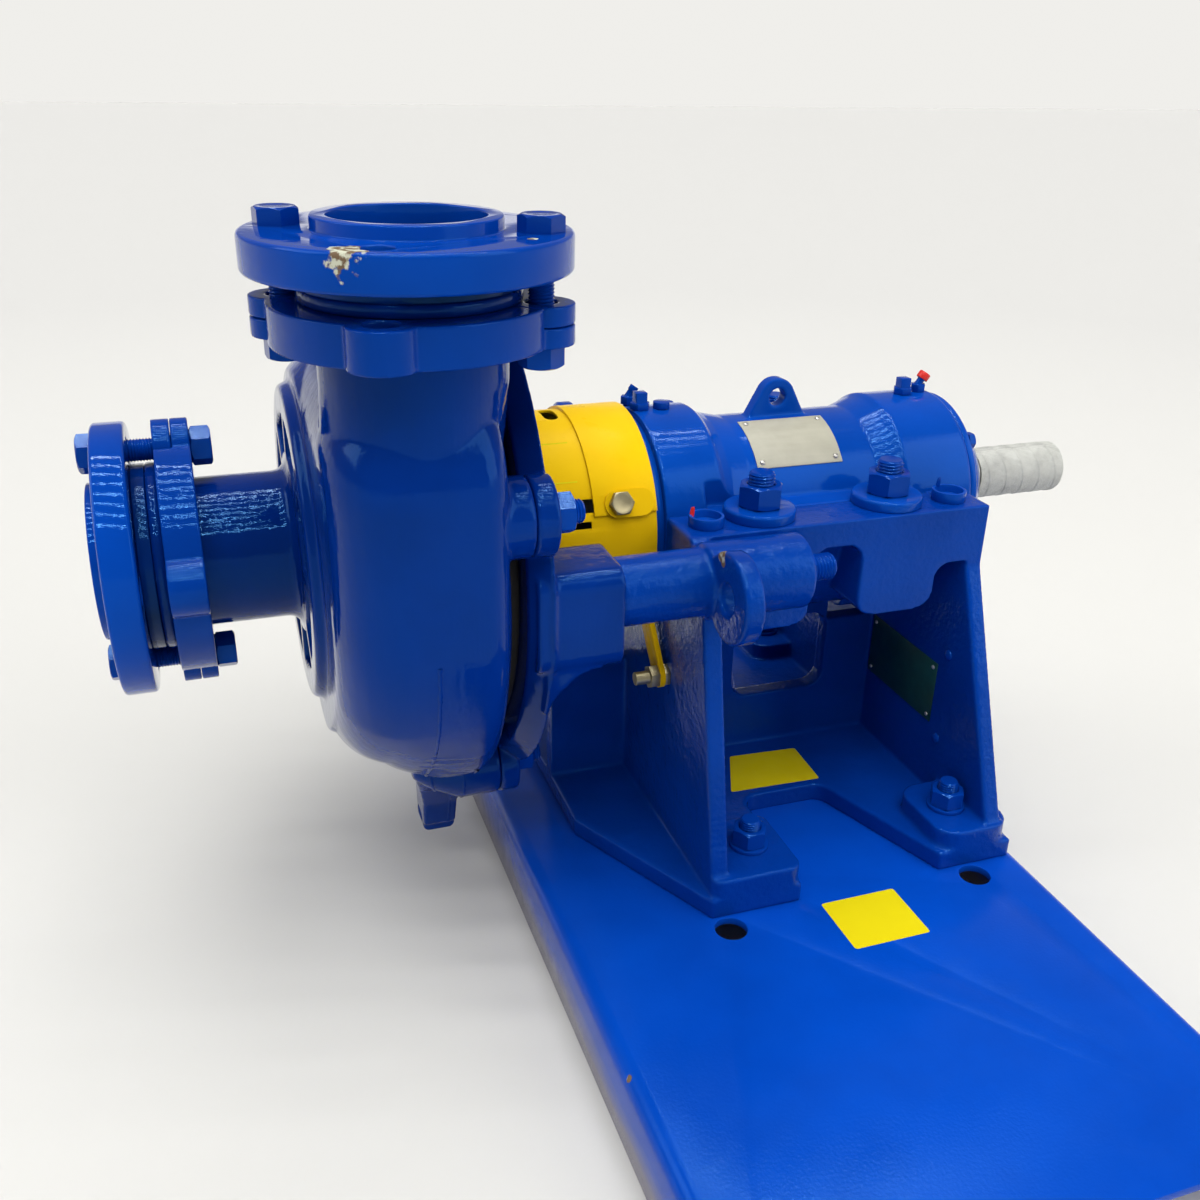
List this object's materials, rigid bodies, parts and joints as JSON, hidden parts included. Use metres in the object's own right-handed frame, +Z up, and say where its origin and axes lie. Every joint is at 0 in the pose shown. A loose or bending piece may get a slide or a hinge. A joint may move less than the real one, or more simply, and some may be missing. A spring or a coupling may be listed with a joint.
{
  "type": "slurry pump",
  "caption": "Horizontal slurry pump: scroll casing with clamped loose flanges, yellow gland guard, bearing housing on a webbed pedestal, folded base plate.",
  "frame": {"origin": "at floor level, under the middle of the overall length along the shaft and of the base plate's length", "axes": "+X along the shaft from the suction to the drive end, +Z up, +Y to the far side (the discharge stands on the -Y side of the shaft)"},
  "size_m": [0.7966, 0.74, 0.557],
  "materials": {
    "blue_paint": "gloss",
    "yellow_paint": "gloss",
    "zinc_steel": "satin",
    "bright_steel": "satin",
    "cast_iron": "matte",
    "black_rubber": "matte",
    "packing": "matte",
    "bronze": "satin",
    "data_plate": "satin",
    "green_plate": "satin",
    "red_cap": "gloss"
  },
  "bodies": {
    "pump": {"adapter_ring": "blue_paint", "arm_nuts": "blue_paint", "arm_studs": "blue_paint", "base_plate": "blue_paint", "casing_nuts": "blue_paint", "casing_studs": "blue_paint", "clamp_nuts": "blue_paint", "clamp_studs": "blue_paint", "clamp_washers": "blue_paint", "discharge_flange": "blue_paint", "discharge_ring_front": "blue_paint", "discharge_ring_rear": "blue_paint", "flange_bolts": "blue_paint", "flange_nuts": "blue_paint", "foot_bolts": "blue_paint", "foot_nuts": "blue_paint", "foot_washers": "blue_paint", "gland_studs": "zinc_steel", "guard_bolts": "zinc_steel", "guard_lower": "yellow_paint", "guard_upper": "yellow_paint", "joint_seals": "black_rubber", "lantern_ring": "bronze", "packing_rings": "packing", "pedestal": "blue_paint", "rail_caps": "blue_paint", "stay_bolts": "zinc_steel", "stuffing_box": "cast_iron", "suction_flange": "blue_paint", "suction_ring_far": "blue_paint", "suction_ring_near": "blue_paint", "throatbush": "cast_iron", "volute_casing": "blue_paint", "web_plate": "green_plate"},
    "bearing_assembly": {"bearing_housing": "blue_paint", "pump_end_cover": "blue_paint", "drive_end_cover": "blue_paint", "cover_screws": "blue_paint", "pump_bearing_outer_ring": "bright_steel", "drive_bearing_outer_ring": "bright_steel", "grease_plugs": "blue_paint", "grease_nipples": "blue_paint", "nipple_cap": "red_cap", "barrel_plate": "data_plate"},
    "rotor": {"shaft": "bright_steel", "shaft_sleeve": "bright_steel", "impeller": "cast_iron", "pump_bearing_inner_ring": "bright_steel", "drive_bearing_inner_ring": "bright_steel", "bearing_locknut": "bright_steel", "shaft_seals": "black_rubber"},
    "gland_follower": {"gland": "cast_iron", "gland_nuts": "zinc_steel"},
    "adjuster": {"adjusting_screw": "blue_paint"}
  },
  "joints": [
    {"name": "housing_slide", "type": "slide", "parent": "pump", "child": "bearing_assembly", "axis": [1, 0, 0], "range_m": [-0.0015, 0.003]},
    {"name": "shaft_turn", "type": "hinge", "parent": "bearing_assembly", "child": "rotor", "pos_m": [0, 0.128, 0.31], "axis": [1, 0, 0], "continuous": true},
    {"name": "gland_slide", "type": "slide", "parent": "pump", "child": "gland_follower", "axis": [1, 0, 0], "range_m": [0, 0.01]},
    {"name": "screw_turn", "type": "hinge", "parent": "pump", "child": "adjuster", "pos_m": [0.24525, 0.128, 0.212], "axis": [1, 0, 0], "range_deg": [-540, 270]}
  ],
  "couplings": [
    {"joint": "screw_turn", "follows": "housing_slide", "rad_per_m": -3141.6}
  ]
}
